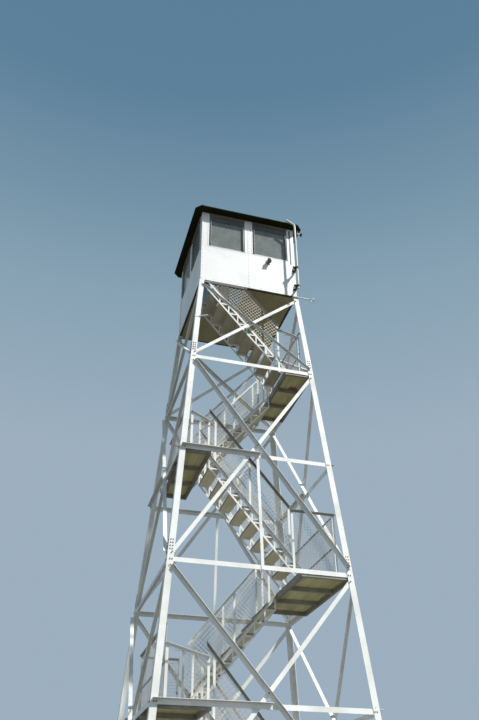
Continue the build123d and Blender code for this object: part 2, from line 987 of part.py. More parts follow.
def roof_cover():
    """A low hipped roof of sheet panels that meet at the hips, with a flat top."""
    base = floor_level + wall_height + fascia_height
    top = base + roof_rise
    half = eave_half_width
    cut = half - eave_clip
    lower = [(-cut, -half, base), (cut, -half, base), (half, -cut, base), (half, cut, base)]
    lower += [(-x, -y, z) for x, y, z in lower]
    small = roof_top_half
    upper = [(-small, -small, top), (small, -small, top), (small, small, top), (-small, small, top)]
    faces = [polygon_face(*upper)]
    for index in range(4):
        first, second = lower[2 * index : 2 * index + 2]
        third = lower[(2 * index + 2) % 8]
        corner = upper[index]
        after = upper[(index + 1) % 4]
        faces.append(polygon_face(first, second, after, corner))
        faces.append(polygon_face(second, third, after))
    return [extrude(face, amount=roof_sheet, dir=(0, 0, 1)) for face in faces]


def polygon_face(*corners):
    """A flat face through its corners."""
    return Face(Wire.make_polygon([Vector(*corner) for corner in corners], close=True))


# Fittings


def corner_mast():
    """A tube beside the front right corner that bends in over the eave."""
    y = -(eave_half_width + mast_eave_gap + mast_radius)
    low = floor_level + mast_bottom
    high = floor_level + mast_straight
    straight = Line((mast_x, y, low), (mast_x, y, high))
    turn = math.radians(90 - mast_lean)
    plane = Plane(origin=(mast_x - mast_bend_radius, y, high), x_dir=(1, 0, 0), z_dir=(0, -1, 0))
    arc = plane * CenterArc((0, 0), mast_bend_radius, 0, math.degrees(turn))
    end = arc @ 1
    tangent = arc % 1
    out = Line(end, end + tangent * mast_reach)
    path = Wire([straight.edge(), arc.edge(), out.edge()])
    section = Pos(mast_x, y, low) * RegularPolygon(mast_radius, rod_sides)
    return sweep(section, path=path)


def mast_clamps():
    """Bars from the cab's front wall with a band round the mast on each."""
    y = -(eave_half_width + mast_eave_gap + mast_radius)
    outer = mast_radius + clamp_wall
    clamps = []
    for height in clamp_heights:
        z = floor_level + height
        low = z - clamp_height / 2
        band = Pos(mast_x, y, low) * rod(outer, clamp_height)
        bar = block(
            (mast_x - clamp_bar, y, low),
            (mast_x, -cab_half_width, low + clamp_height),
        )
        bore = Pos(mast_x, y, low - 1) * rod(mast_radius, clamp_height + 2)
        clamps.append(band + bar - bore)
    return clamps


def wall_lamp():
    """A round lamp on a square plate on the front wall, pointing forwards and down."""
    z = floor_level + lamp_height
    half = lamp_plate / 2
    front = -cab_half_width - lamp_plate_thickness
    plate = block((lamp_x - half, front, z - half), (lamp_x + half, -cab_half_width, z + half))
    neck = Pos(lamp_x, front + 1, z) * Rot(90, 0, 0) * rod(lamp_radius / 2, lamp_length / 2)
    head = Pos(0, 0, -lamp_length / 2) * rod(lamp_radius, lamp_length)
    head = Pos(lamp_x, front - lamp_length / 2, z) * Rot(35, 0, 0) * head
    return plate + neck + head


def floor_arm():
    """A bar along the cab's right wall foot that ends in a ring."""
    z = floor_level + arm_height
    y = -half_width(z) - (arm_radius + seat_clearance) / math.cos(tilt)
    start = top_half_width - leg_flange
    end = cab_half_width + arm_length
    bar = Pos(start, y, z) * Rot(0, 90, 0) * rod(arm_radius, end - start)
    outline = RegularPolygon(ring_radius + ring_bar, ring_sides)
    outline -= RegularPolygon(ring_radius - ring_bar, ring_sides)
    ring = Pos(end + ring_radius, y, z - ring_bar) * extrude(outline, amount=2 * ring_bar)
    return bar + ring


def roof_horn():
    """A small horn on a stem under the roof's front right corner."""
    z = floor_level + wall_height - horn_drop
    x = eave_half_width - fascia_thickness - horn_radius
    y = -eave_half_width + eave_clip + horn_radius
    top = floor_level + wall_height
    stem = block((x - 9, y - 9, z), (x + 9, y + 9, top))
    body = Pos(x - horn_length / 3, y, z) * Rot(0, 90, 0) * rod(horn_radius / 2, horn_length)
    small = RegularPolygon(horn_radius / 2, rod_sides)
    large = Pos(0, 0, horn_length / 2) * RegularPolygon(horn_radius, rod_sides)
    mouth = Pos(x + horn_length / 4, y, z) * Rot(0, 90, 0) * loft([small, large])
    return stem + body + mouth


def main():
    os.makedirs("parts", exist_ok=True)
    sides = (("front", 0), ("right", 90), ("rear", 180), ("left", 270))
    corners = (
        ("front_left", 0),
        ("front_right", 90),
        ("rear_right", 180),
        ("rear_left", 270),
    )
    leg = front_left_leg()
    for name, degrees in corners:
        save(f"leg_{name}", turned([leg], degrees))
    plates = []
    for name, degrees in corners:
        plates += turned([front_left_base_plate(), front_left_cap_plate()], degrees)
    save("leg_plates", plates)
    struts = side_struts()
    bracing = side_bracing()
    spacers = []
    hangers = []
    for name, degrees in sides:
        save(f"{name}_struts", turned(struts, degrees))
        save(f"{name}_bracing", turned(bracing, degrees))
        spacers += turned(crossing_spacers(), degrees)
        if name in ("front", "rear"):
            hangers += turned([side_hanger()], degrees)
    save("crossing_spacers", spacers)
    save("strut_hangers", hangers)

    guards = []
    meshes = []
    for flight in range(1, tier_count + 1):
        save(f"stair_{flight}_frame", stair_frame(flight))
        save(f"stair_{flight}_treads", stair_treads(flight))
        guards += stair_guards(flight)
        meshes += stair_mesh(flight)
    save("stair_guards", guards)
    save("stair_mesh", meshes)

    frames = []
    decks = []
    guards = []
    meshes = []
    for storey in range(1, tier_count):
        frames.append(landing_frame(storey))
        decks += landing_deck(storey)
        guards += landing_end_guards(storey) + landing_side_guards(storey)
        meshes += landing_mesh(storey)
    save("landing_frames", frames)
    save("landing_decks", decks)
    save("landing_guards", guards)
    save("landing_mesh", meshes)

    save("cab_floor_beams", floor_beams())
    save("cab_floor_joists", floor_joists())
    save("cab_floor_boards", floor_boards())
    save("cab_underside", cab_underside())
    front_wall = cab_wall(cab_half_width)
    side_wall = cab_wall(cab_half_width - wall_thickness)
    sashes = []
    panes = []
    for name, degrees in sides:
        wall = front_wall if name in ("front", "rear") else side_wall
        save(f"cab_wall_{name}", turned([wall], degrees))
        sashes += turned(window_sashes(), degrees)
        panes += turned(window_panes(), degrees)
    save("window_sashes", sashes)
    save("window_panes", panes)
    save("roof_soffit", [roof_soffit()])
    save("roof_fascia", [roof_fascia()])
    save("roof_cover", roof_cover())
    save("corner_mast", [corner_mast()])
    save("mast_clamps", mast_clamps())
    save("wall_lamp", [wall_lamp()])
    save("floor_arm", [floor_arm()])
    save("roof_horn", [roof_horn()])


main()
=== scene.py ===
import json
import math

import bmesh
import bpy
from mathutils import Matrix, Vector


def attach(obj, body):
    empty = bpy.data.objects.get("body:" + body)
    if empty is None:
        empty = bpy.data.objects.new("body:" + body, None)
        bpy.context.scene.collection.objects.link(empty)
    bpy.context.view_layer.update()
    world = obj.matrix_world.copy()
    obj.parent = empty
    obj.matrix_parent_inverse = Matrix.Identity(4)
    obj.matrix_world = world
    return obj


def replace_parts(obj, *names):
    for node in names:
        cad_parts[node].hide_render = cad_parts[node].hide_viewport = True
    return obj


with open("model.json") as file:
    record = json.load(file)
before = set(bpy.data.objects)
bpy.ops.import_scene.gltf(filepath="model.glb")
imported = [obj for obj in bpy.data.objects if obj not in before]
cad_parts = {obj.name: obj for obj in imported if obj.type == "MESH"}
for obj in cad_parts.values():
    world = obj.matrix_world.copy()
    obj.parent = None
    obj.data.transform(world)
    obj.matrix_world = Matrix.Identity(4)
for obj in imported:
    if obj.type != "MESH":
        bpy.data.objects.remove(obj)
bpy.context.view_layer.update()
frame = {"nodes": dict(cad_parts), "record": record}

NODES = frame["nodes"]

# Sides of the tower, as turns of the front side about the vertical, in degrees
FRONT, RIGHT, REAR, LEFT = 0, 90, 180, 270
SIDES = (FRONT, RIGHT, REAR, LEFT)

# Sizes of the tower, in metres
TIER = 2.045
STOREYS = 5
FLOOR = 10.265
TOP_HALF = 1.086
BASE_HALF = 1.848
BATTER = (BASE_HALF - TOP_HALF) / FLOOR
TILT = math.atan(BATTER)
PLATE_T = 0.006
END_INSET = 0.024
BRACE_INSET = 0.052
BRACE_GAP = 0.086
BRACED_PANELS = ((0, 1), (1, 3), (3, 5))
HALF_STRUT_STOREYS = (2, 4)
CAB_HALF = 1.067
SILL = 1.014
HEAD = 1.835
WALL_TOP = 2.007
WINDOW_IN = 0.092
WINDOW_OUT = 0.905
SASH = 0.032
EAVE = 1.250
EAVE_CLIP = 0.120
FASCIA = 0.070
FASCIA_T = 0.020
ROOF_RISE = 0.430
ROOF_SHEET = 0.020
ROOF_TOP = 0.060
EDGE_RIGHT = 0.660
EDGE_LEFT = -0.840


def half_width(z):
    """Half the width of the frame at a height."""
    return BASE_HALF - BATTER * z


def level(storey):
    """Height of a storey's foot, counted down from the cab's floor."""
    return TIER * (STOREYS - storey)


# Camera at the photograph's viewing angle

CAMERA_PLACE = Vector((-3.515, -12.287, 0.179))
CAMERA_FORWARD = Vector((0.2303457, 0.78597344, 0.57374786))
CAMERA_RIGHT = Vector((0.96058144, -0.2779559, -0.00487993))
CAMERA_UP = Vector((-0.1556411, -0.55225562, 0.81901745))
FOCAL_MM = 36.33
SENSOR_MM = 36.0
CLIP_END = 500.0


def make_camera():
    data = bpy.data.cameras.new("photo_camera")
    data.sensor_fit = "VERTICAL"
    data.sensor_height = SENSOR_MM
    data.lens = FOCAL_MM
    data.clip_end = CLIP_END
    camera = bpy.data.objects.new("photo_camera", data)
    axes = Matrix((CAMERA_RIGHT, CAMERA_UP, -CAMERA_FORWARD)).transposed()
    camera.matrix_world = Matrix.Translation(CAMERA_PLACE) @ axes.to_4x4()
    bpy.context.scene.collection.objects.link(camera)
    bpy.context.scene.camera = camera


# Light and floor

SUN_DIRECTION = Vector((-0.43, 0.455, -0.78))
SUN_STRENGTH = 4.6
SUN_WIDTH = math.radians(2.5)
SUN_COLOR = (1.0, 0.98, 0.94)
GROUND_RADIUS = 7.0
GROUND_COLOR = (0.34, 0.34, 0.32, 1)
GROUND_ROUGHNESS = 0.9

# Backdrop colours by height: 0 is level with the eye and below, 1 is straight up
BACKDROP = (
    (0.00, (0.225, 0.232, 0.226)),
    (0.14, (0.335, 0.430, 0.525)),
    (0.47, (0.335, 0.430, 0.525)),
    (0.64, (0.245, 0.362, 0.452)),
    (0.82, (0.110, 0.220, 0.325)),
    (1.00, (0.095, 0.200, 0.300)),
)


def set_stops(ramp, stops):
    """Give a new colour ramp, which has a first and a last stop, all its stops."""
    for place, color in stops[1:-1]:
        ramp.elements.new(place)
    for element, (place, color) in zip(ramp.elements, stops):
        element.position = place
        element.color = (*color, 1)


def make_lights():
    world = bpy.data.worlds.new("studio")
    world.use_nodes = True
    tree = world.node_tree
    back = tree.nodes["Background"]
    back.inputs["Strength"].default_value = 1.0
    coords = tree.nodes.new("ShaderNodeTexCoord")
    split = tree.nodes.new("ShaderNodeSeparateXYZ")
    ramp = tree.nodes.new("ShaderNodeValToRGB")
    set_stops(ramp.color_ramp, BACKDROP)
    tree.links.new(coords.outputs["Generated"], split.inputs[0])
    tree.links.new(split.outputs["Z"], ramp.inputs["Fac"])
    tree.links.new(ramp.outputs["Color"], back.inputs["Color"])
    bpy.context.scene.world = world
    sun = bpy.data.lights.new("key", "SUN")
    sun.energy = SUN_STRENGTH
    sun.angle = SUN_WIDTH
    sun.color = SUN_COLOR
    holder = bpy.data.objects.new("key", sun)
    holder.rotation_euler = SUN_DIRECTION.to_track_quat("-Z", "Y").to_euler()
    bpy.context.scene.collection.objects.link(holder)
    bpy.context.scene.view_settings.view_transform = "Standard"


def make_floor():
    bm = bmesh.new()
    bmesh.ops.create_circle(bm, cap_ends=True, segments=96, radius=GROUND_RADIUS)
    mesh = bpy.data.meshes.new("floor")
    bm.to_mesh(mesh)
    bm.free()
    floor = bpy.data.objects.new("floor", mesh)
    bpy.context.scene.collection.objects.link(floor)
    mat = bpy.data.materials.new("floor")
    mat.use_nodes = True
    shader = mat.node_tree.nodes["Principled BSDF"]
    shader.inputs["Base Color"].default_value = GROUND_COLOR
    shader.inputs["Roughness"].default_value = GROUND_ROUGHNESS
    mesh.materials.append(mat)


make_camera()
make_lights()
make_floor()

# Materials

RUST_DARK = (0.16, 0.055, 0.022)
RUST_LIGHT = (0.36, 0.15, 0.06)
BLACK_TONE = (0.035, 0.035, 0.038)
WHITE_TONE = (0.87, 0.87, 0.84)
WHITE_DIRT = (0.72, 0.72, 0.68)
FAR_PANE_X = -1.0
FAR_PANE_Y = 0.05
FAR_PANE_COLOR = (0.50, 0.56, 0.58)
FAR_PANE_EXTRA = 0.42
GLASS_ALPHA = 0.52
# Scale of the wave texture that gives one stripe to a metre
ONE_STRIPE = math.pi / 10


def shade(color, factor):
    """A colour made darker or lighter."""
    return tuple(value * factor for value in color)


class Maker:
    """Builds one node material."""

    def __init__(self, name):
        self.mat = bpy.data.materials.new(name)
        self.mat.use_nodes = True
        self.tree = self.mat.node_tree
        self.shader = self.tree.nodes["Principled BSDF"]
        self.coords = self.tree.nodes.new("ShaderNodeTexCoord")

    def node(self, kind, **values):
        """A new node; each value is a property of it or else an input."""
        node = self.tree.nodes.new(kind)
        for key, value in values.items():
            if hasattr(node, key):
                setattr(node, key, value)
            else:
                node.inputs[key].default_value = value
        return node

    def link(self, out, into):
        self.tree.links.new(out, into)

    def feed(self, socket, out):
        """Link an output to a socket of the shader."""
        self.link(out, self.shader.inputs[socket])

    def set(self, **values):
        """Set constant values on the shader; an underscore stands for a space."""
        for key, value in values.items():
            self.shader.inputs[key.replace("_", " ")].default_value = value

    def mapping(self, scale=(1, 1, 1)):
        node = self.node("ShaderNodeMapping")
        node.inputs["Scale"].default_value = scale
        self.link(self.coords.outputs["Object"], node.inputs["Vector"])
        return node.outputs["Vector"]

    def noise(self, scale, detail=3.0, rough=0.6, stretch=(1, 1, 1)):
        node = self.node("ShaderNodeTexNoise", Scale=scale, Detail=detail, Roughness=rough)
        self.link(self.mapping(stretch), node.inputs["Vector"])
        return node.outputs["Fac"]

    def stripes(self, scale, axis):
        node = self.node("ShaderNodeTexWave", Scale=scale, Distortion=0.4)
        node.bands_direction = axis
        self.link(self.mapping(), node.inputs["Vector"])
        return node.outputs["Fac"]

    def axis(self, name):
        node = self.node("ShaderNodeSeparateXYZ")
        self.link(self.coords.outputs["Object"], node.inputs[0])
        return node.outputs[name]

    def facing_down(self):
        """1 where the surface looks at the ground."""
        geometry = self.node("ShaderNodeNewGeometry")
        split = self.node("ShaderNodeSeparateXYZ")
        self.link(geometry.outputs["Normal"], split.inputs[0])
        down = self.math("MULTIPLY", split.outputs["Z"], -1.0)
        return self.mask(down, 0.25, 0.65)

    def near(self, centre, radius):
        """1 at a point of the object and 0 a radius away from it."""
        node = self.node("ShaderNodeVectorMath", operation="DISTANCE")
        self.link(self.coords.outputs["Object"], node.inputs[0])
        node.inputs[1].default_value = centre
        scaled = self.math("DIVIDE", node.outputs["Value"], radius)
        return self.invert(scaled)

    def beyond(self, name, limit, sign=1):
        """1 on one side of a limit along an axis, else 0."""
        place = self.math("MULTIPLY", self.axis(name), float(sign))
        return self.math("GREATER_THAN", place, sign * limit)

    def between(self, name, low, high):
        """1 between two limits along an axis, else 0."""
        below = self.invert(self.beyond(name, high))
        return self.math("MULTIPLY", self.beyond(name, low), below)

    def ramp(self, source, stops):
        node = self.node("ShaderNodeValToRGB")
        set_stops(node.color_ramp, stops)
        self.link(source, node.inputs["Fac"])
        return node.outputs["Color"]

    def mask(self, source, low, high):
        """Black below low, white above high, and a slope between them."""
        return self.ramp(source, [(low, (0, 0, 0)), (high, (1, 1, 1))])

    def mix(self, factor, first, second):
        node = self.node("ShaderNodeMix", data_type="RGBA")
        sockets = (node.inputs["Factor"], node.inputs[6], node.inputs[7])
        for socket, value in zip(sockets, (factor, first, second)):
            if isinstance(value, tuple):
                socket.default_value = (*value, 1)
            else:
                self.link(value, socket)
        return node.outputs[2]

    def cover(self, color, over, mask, amount):
        """A colour with another over it, by an amount, where the mask is."""
        return self.mix(self.math("MULTIPLY", mask, amount), color, over)

    def math(self, operation, first, second):
        node = self.node("ShaderNodeMath", operation=operation)
        for socket, value in zip(node.inputs, (first, second)):
            if isinstance(value, (float, int)):
                socket.default_value = value
            else:
                self.link(value, socket)
        return node.outputs[0]

    def invert(self, value):
        return self.math("SUBTRACT", 1.0, value)

    def bump(self, height, strength, distance):
        node = self.node("ShaderNodeBump", Strength=strength, Distance=distance)
        self.link(height, node.inputs["Height"])
        self.feed("Normal", node.outputs["Normal"])


def painted_steel(
    name, paint, dirt, rust_from, rough=0.45, specular=0.5, bands=(), shade_band_color=None
):
    """Old brushed paint with dirt and rust, a darker colour on faces that look down as painted
    shade, and bands of heights in another colour as painted shade.

    A lower rust_from gives more rust.
    """
    m = Maker(name)
    cloud = m.noise(2.2, detail=5.0)
    color = m.ramp(cloud, [(0.32, dirt), (0.58, paint)])
    # Each band of heights takes another colour: painted shade.
    for low, high in bands:
        color = m.mix(m.between("Z", low, high), color, shade_band_color)
    grime = m.mask(m.noise(9.0, detail=4.0, rough=0.65, stretch=(1, 1, 0.25)), 0.5, 0.8)
    color = m.cover(color, dirt, grime, 0.3)
    # Faces that look down get half the dirt colour: painted shade under the members.
    color = m.cover(color, shade(dirt, 0.5), m.facing_down(), 0.8)
    spots = m.mask(m.noise(26.0, detail=6.0, rough=0.7), rust_from, rust_from + 0.05)
    patches = m.mask(m.noise(3.1), 0.52, 0.62)
    rust = m.ramp(m.noise(40.0, detail=4.0), [(0.35, RUST_DARK), (0.65, RUST_LIGHT)])
    color = m.mix(m.math("MULTIPLY", spots, patches), color, rust)
    m.feed("Base Color", color)
    m.feed("Roughness", m.ramp(cloud, [(0.3, (rough + 0.2,) * 3), (0.7, (rough,) * 3)]))
    m.set(Specular_IOR_Level=specular)
    m.bump(m.noise(55.0, detail=4.0), 0.2, 0.002)
    return m.mat


def cab_board(name, paint, dirt, streak, spot):
    """White sheet with faint waves, streaks running down and small spots."""
    m = Maker(name)
    color = m.ramp(m.noise(1.3, detail=4.0), [(0.30, dirt), (0.60, paint)])
    streaks = m.mask(m.noise(14.0, detail=5.0, rough=0.7, stretch=(1, 1, 0.06)), 0.60, 0.82)
    color = m.cover(color, streak, streaks, 0.25)
    spots = m.mask(m.noise(38.0, detail=5.0, rough=0.7), 0.70, 0.76)
    color = m.cover(color, spot, spots, 0.55)
    m.feed("Base Color", color)
    m.set(Roughness=0.42)
    m.bump(m.noise(2.4, detail=2.0), 0.35, 0.012)
    return m.mat


def weathered_wood(name, light, dark, stretch, rust=None, bounce_lit_below=None, top=None):
    """Timber; it may have one rust patch, a lighter colour below a height as painted bounce light,
    and be greyer on top.
    """
    m = Maker(name)
    grain = m.noise(6.0, detail=8.0, rough=0.65, stretch=stretch)
    color = m.ramp(grain, [(0.32, dark), (0.55, light), (0.75, shade(light, 1.15))])
    color = m.cover(color, shade(dark, 0.6), m.mask(m.noise(1.9), 0.4, 0.7), 0.4)
    if bounce_lit_below:
        # Below the height the colour is lighter: painted bounce light from the ground.
        bounce_lit = m.invert(m.beyond("Z", bounce_lit_below))
        color = m.cover(color, shade(light, 1.75), bounce_lit, 0.55)
    if top:
        worn = m.ramp(grain, [(0.32, shade(top, 0.6)), (0.62, top)])
        color = m.mix(m.facing_down(), worn, color)
    if rust:
        ragged = m.math("MULTIPLY", m.noise(22.0, detail=5.0, rough=0.7), 1.2)
        patch = m.mask(m.math("ADD", m.near(*rust), ragged), 0.88, 0.98)
        color = m.mix(patch, color, (0.20, 0.075, 0.025))
    m.feed("Base Color", color)
    m.set(Roughness=0.85)
    m.bump(grain, 0.5, 0.004)
    return m.mat


def grooved_sheet(name, paint, dark, spot, axis, pitch):
    """Dull painted sheet with narrow folded grooves across one direction."""
    m = Maker(name)
    color = m.ramp(m.noise(2.6, detail=6.0, rough=0.65), [(0.32, dark), (0.66, paint)])
    groove = m.mask(m.stripes(ONE_STRIPE / pitch, axis), 0.04, 0.16)
    # The grooves take the dark colour: partly the seams' own tone, partly painted shade in the
    # folds.
    color = m.mix(groove, shade(dark, 1.05), color)
    spots = m.mask(m.noise(17.0, detail=5.0, rough=0.7), 0.62, 0.70)
    color = m.cover(color, spot, spots, 0.35)
    m.feed("Base Color", color)
    m.set(Roughness=0.6)
    m.bump(groove, 0.15, 0.003)
    return m.mat


def banded_paint(name, paint, band, low, high):
    """Dull paint with one lighter band between two x."""
    m = Maker(name)
    cloud = m.ramp(m.noise(18.0, detail=4.0), [(0.35, shade(paint, 0.6)), (0.65, paint)])
    m.feed("Base Color", m.mix(m.between("X", low, high), cloud, band))
    m.set(Roughness=0.45)
    m.bump(m.noise(60.0), 0.15, 0.002)
    return m.mat


def window_glass(name, dull, pale, smeared):
    """Dusty glass; the pane at the left wall's far end is paler and nearly opaque."""
    m = Maker(name)
    color = m.ramp(m.noise(3.0, detail=7.0, rough=0.72), [(0.36, dull), (0.72, pale)])
    smears = m.mask(m.noise(11.0, detail=6.0, rough=0.7, stretch=(1, 1, 0.4)), 0.56, 0.78)
    color = m.cover(color, smeared, smears, 0.5)
    far_pane = m.math("MULTIPLY", m.beyond("X", FAR_PANE_X, -1), m.beyond("Y", FAR_PANE_Y))
    m.feed("Base Color", m.mix(far_pane, color, FAR_PANE_COLOR))
    extra = m.math("MULTIPLY", far_pane, FAR_PANE_EXTRA)
    m.feed("Alpha", m.math("ADD", extra, GLASS_ALPHA))
    m.set(Roughness=0.10)
    m.mat.surface_render_method = "BLENDED"
    return m.mat


# Centre and radius of the rust patch on the upper landing's deck
DECK_RUST = ((1.02, -0.62, 8.17), 0.15)
# Treads below this height are painted lighter: painted bounce light from the ground
BOUNCE_LIT_TREADS = 8.0
# Heights of the landing guards' rails over a storey's foot, and the band of painted shade round
# each
GUARD_RAILS = (0.540, 1.067)
BAND_BELOW = 0.020
BAND_ABOVE = 0.026
# The horn's light band lies between these x
HORN_BAND = (1.175, 1.225)
GROOVE_PITCH = 0.062

WHITE = painted_steel("white_paint", WHITE_TONE, WHITE_DIRT, 0.61)
ROOF = painted_steel(
    "roof_paint", (0.034, 0.036, 0.012), (0.022, 0.024, 0.008), 0.62, 0.7, specular=0.12
)
FRAME = painted_steel("dull_frame_paint", (0.30, 0.29, 0.24), (0.17, 0.16, 0.12), 0.56)
SASH_PAINT = painted_steel("sash_paint", (0.33, 0.35, 0.34), (0.22, 0.23, 0.22), 0.60, 0.5)
FOOT = painted_steel("foot_angle_paint", (0.075, 0.060, 0.050), (0.040, 0.032, 0.026), 0.55, 0.6)
WIRE = painted_steel("wire_paint", (0.62, 0.57, 0.46), (0.46, 0.41, 0.32), 0.60)
FINE_WIRE = painted_steel("fine_wire_paint", (0.50, 0.49, 0.45), (0.34, 0.32, 0.28), 0.56)
GREY = painted_steel("grey_fittings", (0.36, 0.37, 0.37), (0.20, 0.20, 0.20), 0.58, 0.35)
CREAM = painted_steel("mast_paint", (0.82, 0.80, 0.72), (0.60, 0.58, 0.50), 0.60, 0.35)
BLACK = painted_steel("black_fittings", BLACK_TONE, (0.018, 0.018, 0.018), 0.66, 0.4)
RUSTY = painted_steel("rusty_bolts", (0.46, 0.43, 0.38), (0.26, 0.20, 0.15), 0.52, 0.6)
# A darker copy of the white paint for the odd flights' handrails: painted shade.
RAIL_SHADE_PAINT = painted_steel("rail_painted_shade", (0.36, 0.34, 0.30), (0.25, 0.23, 0.19), 0.56)
HEADER_LINE = painted_steel("header_line_paint", (0.42, 0.36, 0.22), (0.24, 0.20, 0.12), 0.58)
# Dark blue-grey of dusty glass in the eave's shadow, for the strips over the windows: painted
# shade.
EAVE_SHADE_PAINT = painted_steel(
    "head_panel_shaded_glass", (0.125, 0.165, 0.185), (0.085, 0.115, 0.130), 0.70, 0.2
)
# The landing guards' white paint is darker in a band round each rail: painted shade on the rails.
GUARD = painted_steel(
    "guard_paint_and_rail_shade",
    WHITE_TONE,
    WHITE_DIRT,
    0.61,
    bands=[
        (level(storey) + rail - BAND_BELOW, level(storey) + rail + BAND_ABOVE)
        for storey in range(1, STOREYS)
        for rail in GUARD_RAILS
    ],
    shade_band_color=(0.34, 0.32, 0.28),
)
HORN = banded_paint("horn_paint", BLACK_TONE, (0.80, 0.79, 0.74), *HORN_BAND)
BOARD = cab_board(
    "cab_paint", (0.90, 0.90, 0.88), (0.80, 0.81, 0.79), (0.52, 0.48, 0.40), (0.38, 0.26, 0.16)
)
UNDERSIDE = grooved_sheet(
    "underside_paint",
    (0.29, 0.255, 0.12),
    (0.20, 0.175, 0.085),
    (0.17, 0.10, 0.05),
    "X",
    GROOVE_PITCH,
)
HEADER = weathered_wood("header_wood", (0.22, 0.17, 0.10), (0.10, 0.075, 0.042), (0.3, 0.3, 1))
TREAD = weathered_wood(
    "tread_wood",
    (0.40, 0.36, 0.26),
    (0.27, 0.24, 0.165),
    (1, 0.12, 1),
    bounce_lit_below=BOUNCE_LIT_TREADS,
    top=(0.36, 0.34, 0.30),
)
DECK = weathered_wood(
    "deck_wood",
    (0.45, 0.41, 0.205),
    (0.32, 0.285, 0.14),
    (1, 0.12, 1),
    rust=DECK_RUST,
    top=(0.36, 0.34, 0.29),
)
GLASS = window_glass("window_glass", (0.27, 0.31, 0.30), (0.42, 0.45, 0.43), (0.56, 0.58, 0.54))

BY_SLOT = {
    "white_steel": WHITE,
    "tread_wood": TREAD,
    "deck_wood": DECK,
    "white_board": BOARD,
    "glass": GLASS,
    "roof_metal": ROOF,
    "wire_mesh": WIRE,
    "underside_metal": UNDERSIDE,
    "frame_steel": FRAME,
    "galvanized": GREY,
}
BY_NODE = {
    "corner_mast": CREAM,
    "mast_clamps": BLACK,
    "window_sashes": SASH_PAINT,
    "landing_guards": GUARD,
    "roof_horn": HORN,
}
for part in frame["record"]["subparts"]:
    materials = NODES[part["node"]].data.materials
    materials.clear()
    materials.append(BY_NODE.get(part["node"], BY_SLOT[part["material_slot"]]))

# Pieces

BOX_FACES = ((0, 2, 3, 1), (4, 5, 7, 6), (0, 1, 5, 4), (2, 6, 7, 3), (0, 4, 6, 2), (1, 3, 7, 5))
BOLT_RADIUS = 0.010
WASHER_T = 0.0025
RIVET_RADIUS = 0.007
WELD_DISTANCE = 1e-5
# Edges that turn by more than this, in radians, are bevelled
SHARP = 1.0


def show(name, mesh, material):
    """Put a mesh in the scene as a piece that rides on the tower."""
    mesh.materials.append(material)
    piece = bpy.data.objects.new(name, mesh)
    bpy.context.scene.collection.objects.link(piece)
    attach(piece, "root")
    return piece


def tube_faces(count):
    """Faces of a prism whose two ends have the same number of corners."""
    faces = [(k, (k + 1) % count, count + (k + 1) % count, count + k) for k in range(count)]
    return faces + [tuple(range(count)), tuple(range(count, 2 * count))]


class Piece:
    """Gathers boxes, bars and rods into one mesh; turn() carries what is added next."""

    def __init__(self):
        self.verts = []
        self.faces = []
        self.place = Matrix.Identity(4)

    def turn(self, degrees):
        self.place = Matrix.Rotation(math.radians(degrees), 4, "Z")

    def add(self, points, faces):
        first = len(self.verts)
        self.verts += [self.place @ Vector(point) for point in points]
        self.faces += [[first + index for index in face] for face in faces]

    def box(self, low, high):
        (x0, y0, z0), (x1, y1, z1) = low, high
        points = [(x, y, z) for z in (z0, z1) for y in (y0, y1) for x in (x0, x1)]
        self.add(points, BOX_FACES)

    def bar(self, start, end, width, depth, up):
        """A rectangular bar centred on its line; its depth lies towards up."""
        start, end = Vector(start), Vector(end)
        along = (end - start).normalized()
        side = along.cross(Vector(up)).normalized() * (width / 2)
        rise = side.cross(along).normalized() * (depth / 2)
        signs = [(s, r) for r in (-1, 1) for s in (-1, 1)]
        self.add([base + s * side + r * rise for base in (start, end) for s, r in signs], BOX_FACES)

    def rod(self, start, end, radius, sides, end_radius=None):
        """A round bar, or a taper, with flat ends."""
        start, end = Vector(start), Vector(end)
        along = (end - start).normalized()
        helper = Vector((0, 0, 1)) if abs(along.z) < 0.9 else Vector((1, 0, 0))
        first = along.cross(helper).normalized()
        second = along.cross(first)
        points = []
        for base, size in ((start, radius), (end, radius if end_radius is None else end_radius)):
            for k in range(sides):
                angle = 2 * math.pi * k / sides
                points.append(base + size * (math.cos(angle) * first + math.sin(angle) * second))
        self.add(points, tube_faces(sides))

    def bolt(self, point, normal):
        """A hexagon head on a washer."""
        seat = point + normal * WASHER_T
        self.rod(point, seat, BOLT_RADIUS * 1.35, 10)
        self.rod(seat, point + normal * (WASHER_T + BOLT_RADIUS * 0.8), BOLT_RADIUS, 6)

    def rivet(self, point, normal):
        """A low domed head."""
        point, normal = Vector(point), Vector(normal) * RIVET_RADIUS
        shoulder = point + normal * 0.3
        self.rod(point, shoulder, RIVET_RADIUS, 8, RIVET_RADIUS * 0.85)
        self.rod(shoulder, point + normal * 0.55, RIVET_RADIUS * 0.85, 8, RIVET_RADIUS * 0.35)

    def make(self, name, material, slot, bevel=0.0, weld=False):
        mesh = bpy.data.meshes.new(name)
        mesh.from_pydata(self.verts, [], self.faces)
        bm = bmesh.new()
        bm.from_mesh(mesh)
        if weld:
            bmesh.ops.remove_doubles(bm, verts=bm.verts, dist=WELD_DISTANCE)
        bmesh.ops.recalc_face_normals(bm, faces=bm.faces)
        if bevel:
            edges = [edge for edge in bm.edges if edge.calc_face_angle(0) > SHARP]
            bmesh.ops.bevel(bm, geom=edges, offset=bevel, segments=1, affect="EDGES")
        bm.to_mesh(mesh)
        bm.free()
        return show(name, mesh, material)


# Wire mesh

STAIR_PITCH = 0.060
TOP_STRAND = 0.0085
STAIR_STRAND = 0.0055
LANDING_PITCH = 0.050
LANDING_STRAND = 0.0034
STRAND_THICKNESS = 0.0026
# Edges of a sheet with a shorter run than this are its upright ends
SHORT_RUN = 0.02


